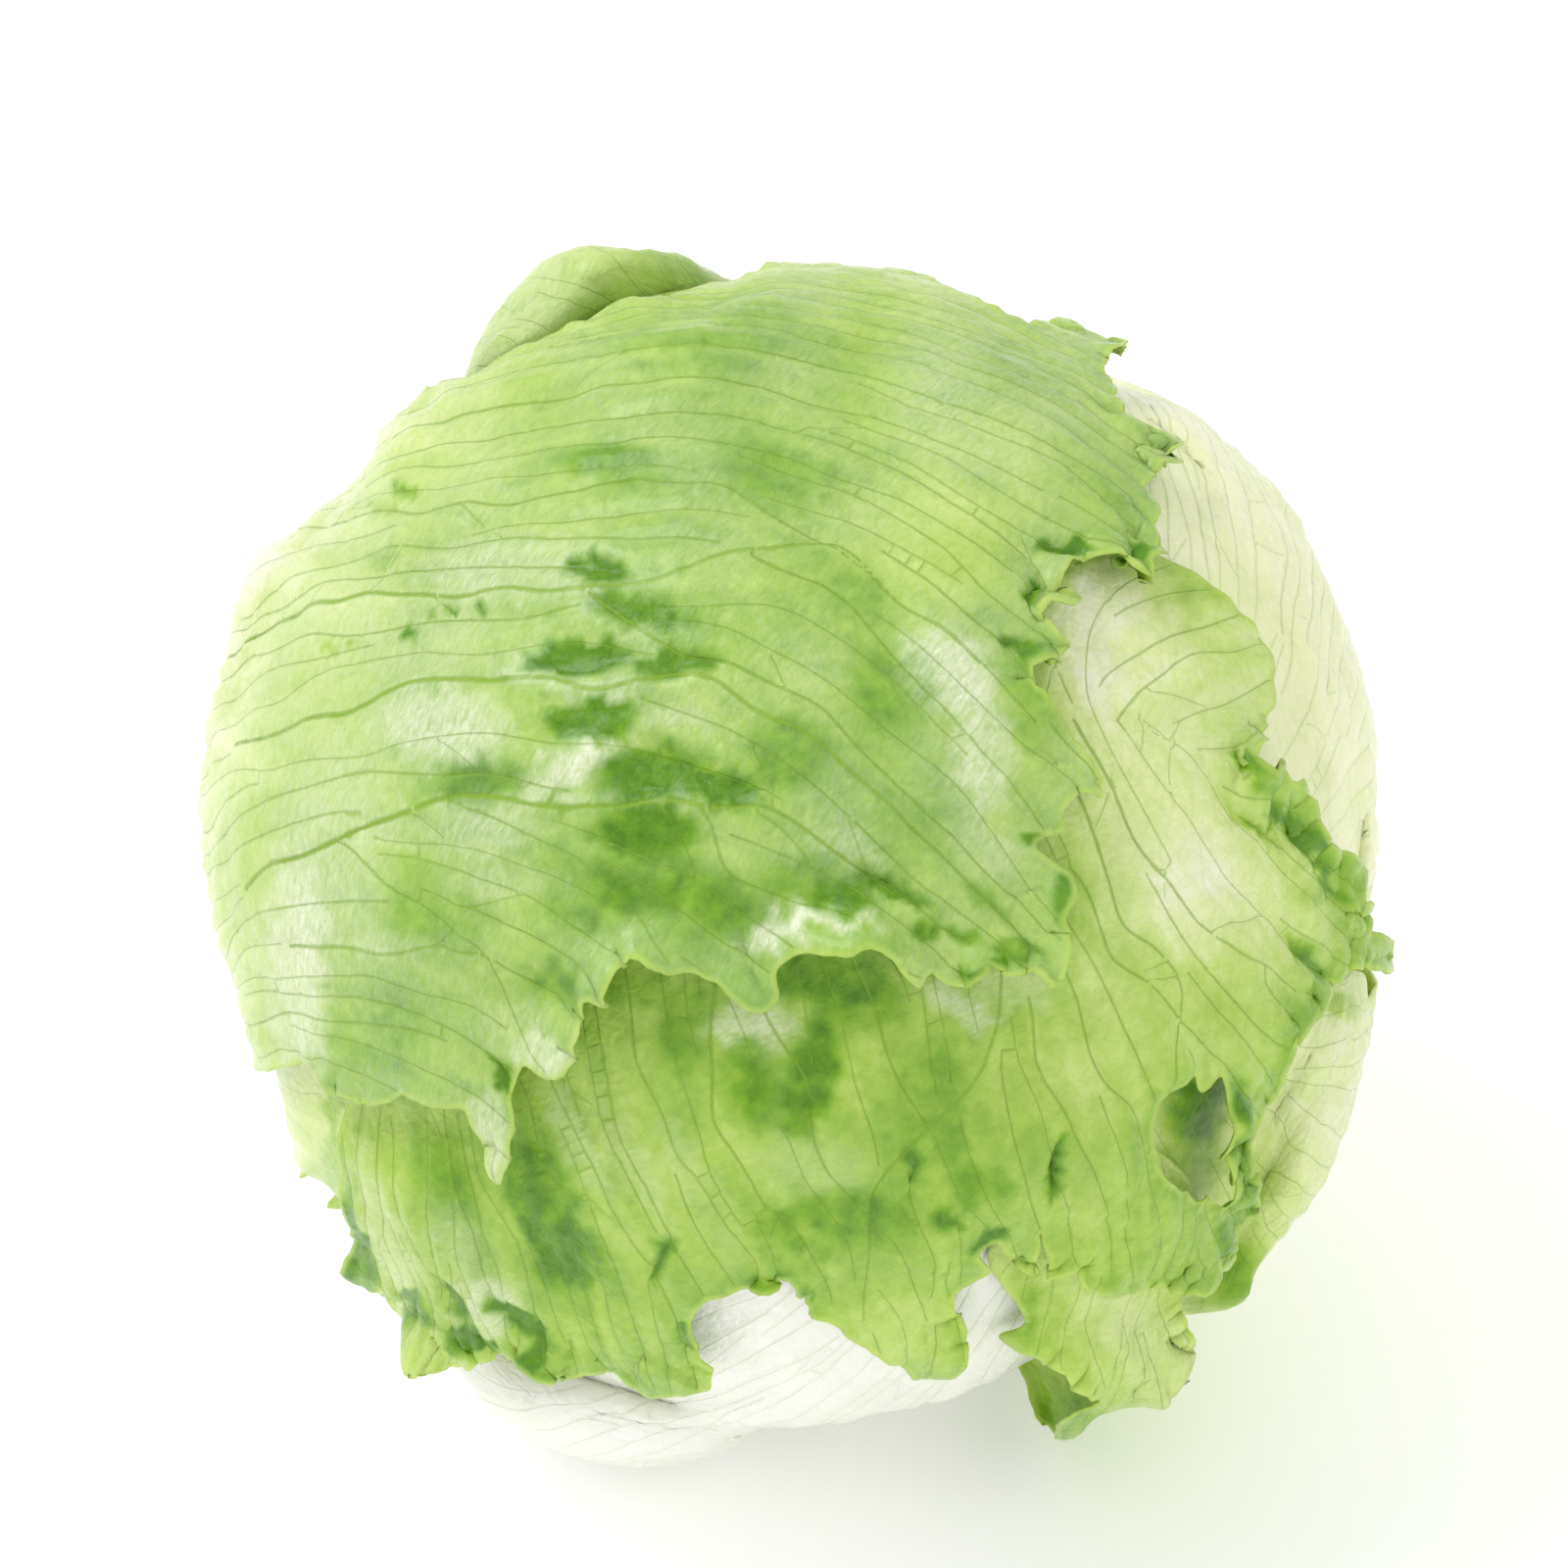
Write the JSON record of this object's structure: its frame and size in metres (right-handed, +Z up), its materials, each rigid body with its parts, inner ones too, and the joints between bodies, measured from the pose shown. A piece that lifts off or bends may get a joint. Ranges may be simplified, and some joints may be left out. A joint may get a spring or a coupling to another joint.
{
  "type": "iceberg lettuce head",
  "caption": "Round head of iceberg lettuce: crisp pale green leaves with frilled margins wrapped over a tight pale heart, resting on one side with its cut stem behind.",
  "frame": {"origin": "centre of the bounding box in plan, on the surface that the head rests on", "axes": "+Z up, -Y towards the side that the picture shows, +X to the picture's right"},
  "size_m": [0.1561, 0.1542, 0.1503],
  "materials": {
    "stem": "cut plant stem: cream white, matt, slightly browned and fibrous",
    "heart": "plant tissue: pale yellow green, satin",
    "leaf_white": "plant tissue: nearly white leaf rib and blade, satin and slightly see-through",
    "leaf_pale": "plant tissue: pale yellow-green leaf, satin and slightly see-through",
    "leaf_green": "plant tissue: mid green leaf with darker fine veins, puckered, satin to waxy"
  },
  "bodies": {
    "root": {"stem": "stem", "heart": "heart", "leaf_under": "leaf_white", "leaf_right": "leaf_pale", "leaf_left": "leaf_pale", "leaf_low_right": "leaf_green", "leaf_torn": "leaf_green", "leaf_front": "leaf_green", "leaf_crown_back": "leaf_green", "leaf_top": "leaf_green"}
  },
  "joints": []
}
